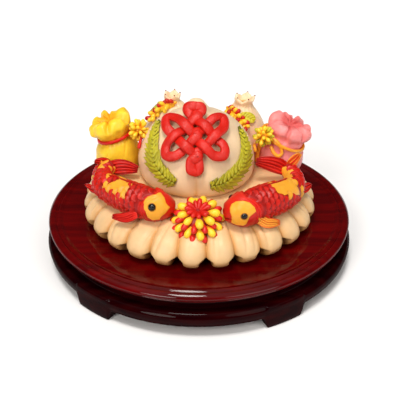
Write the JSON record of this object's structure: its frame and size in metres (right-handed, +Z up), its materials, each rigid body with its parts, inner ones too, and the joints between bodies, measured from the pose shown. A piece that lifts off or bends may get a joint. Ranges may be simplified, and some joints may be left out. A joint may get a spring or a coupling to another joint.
{
  "type": "longevity peach bun centrepiece on a round stand",
  "caption": "Festive steamed dough centrepiece: peach, pomegranates, tied bags and koi on a petalled base, displayed on a round lacquered stand",
  "frame": {"origin": "on the floor under the middle of the stand", "axes": "+Z up, -Y towards the viewer of the decorated front, +X to that viewer's right"},
  "size_m": [0.3462, 0.3466, 0.1819],
  "materials": {
    "lacquered_wood": "dark red high-gloss lacquer over turned wood",
    "cream_dough": "smooth steamed cream wheat dough with a soft satin skin",
    "red_dough": "red coloured steamed dough, satin",
    "yellow_dough": "yellow coloured steamed dough, satin",
    "pink_dough": "coral pink coloured steamed dough, satin",
    "green_dough": "lime green coloured steamed dough, satin",
    "black_bead": "glossy black bean-like bead"
  },
  "bodies": {
    "root": {"stand_board": "lacquered_wood", "stand_waist": "lacquered_wood", "stand_apron": "lacquered_wood", "base_bun": "cream_dough", "peach_bun": "cream_dough", "pomegranate_left": "cream_dough", "pomegranate_right": "cream_dough", "bag_yellow": "yellow_dough", "bag_pink": "pink_dough", "band_red": "red_dough", "band_orange": "yellow_dough", "ribbon_red_1": "red_dough", "ribbon_red_2": "red_dough", "ribbon_orange_1": "yellow_dough", "ribbon_orange_2": "yellow_dough", "ribbon_orange_3": "yellow_dough", "koi_left_body": "red_dough", "koi_left_fin_front": "red_dough", "koi_left_fin_side": "red_dough", "koi_left_eye_1": "black_bead", "koi_left_eye_2": "black_bead", "koi_right_body": "red_dough", "koi_right_fin_front": "yellow_dough", "koi_right_fin_side": "red_dough", "koi_right_eye_1": "black_bead", "koi_right_eye_2": "black_bead", "chrysanthemum": "yellow_dough", "endless_knot": "red_dough", "fern_leaf_left": "green_dough", "fern_leaf_right": "green_dough", "small_leaf_left": "green_dough", "small_leaf_right": "green_dough", "blossom_peak_left": "yellow_dough", "blossom_peak_right": "yellow_dough", "blossom_bag_left": "yellow_dough", "blossom_bag_right": "yellow_dough"}
  },
  "joints": []
}
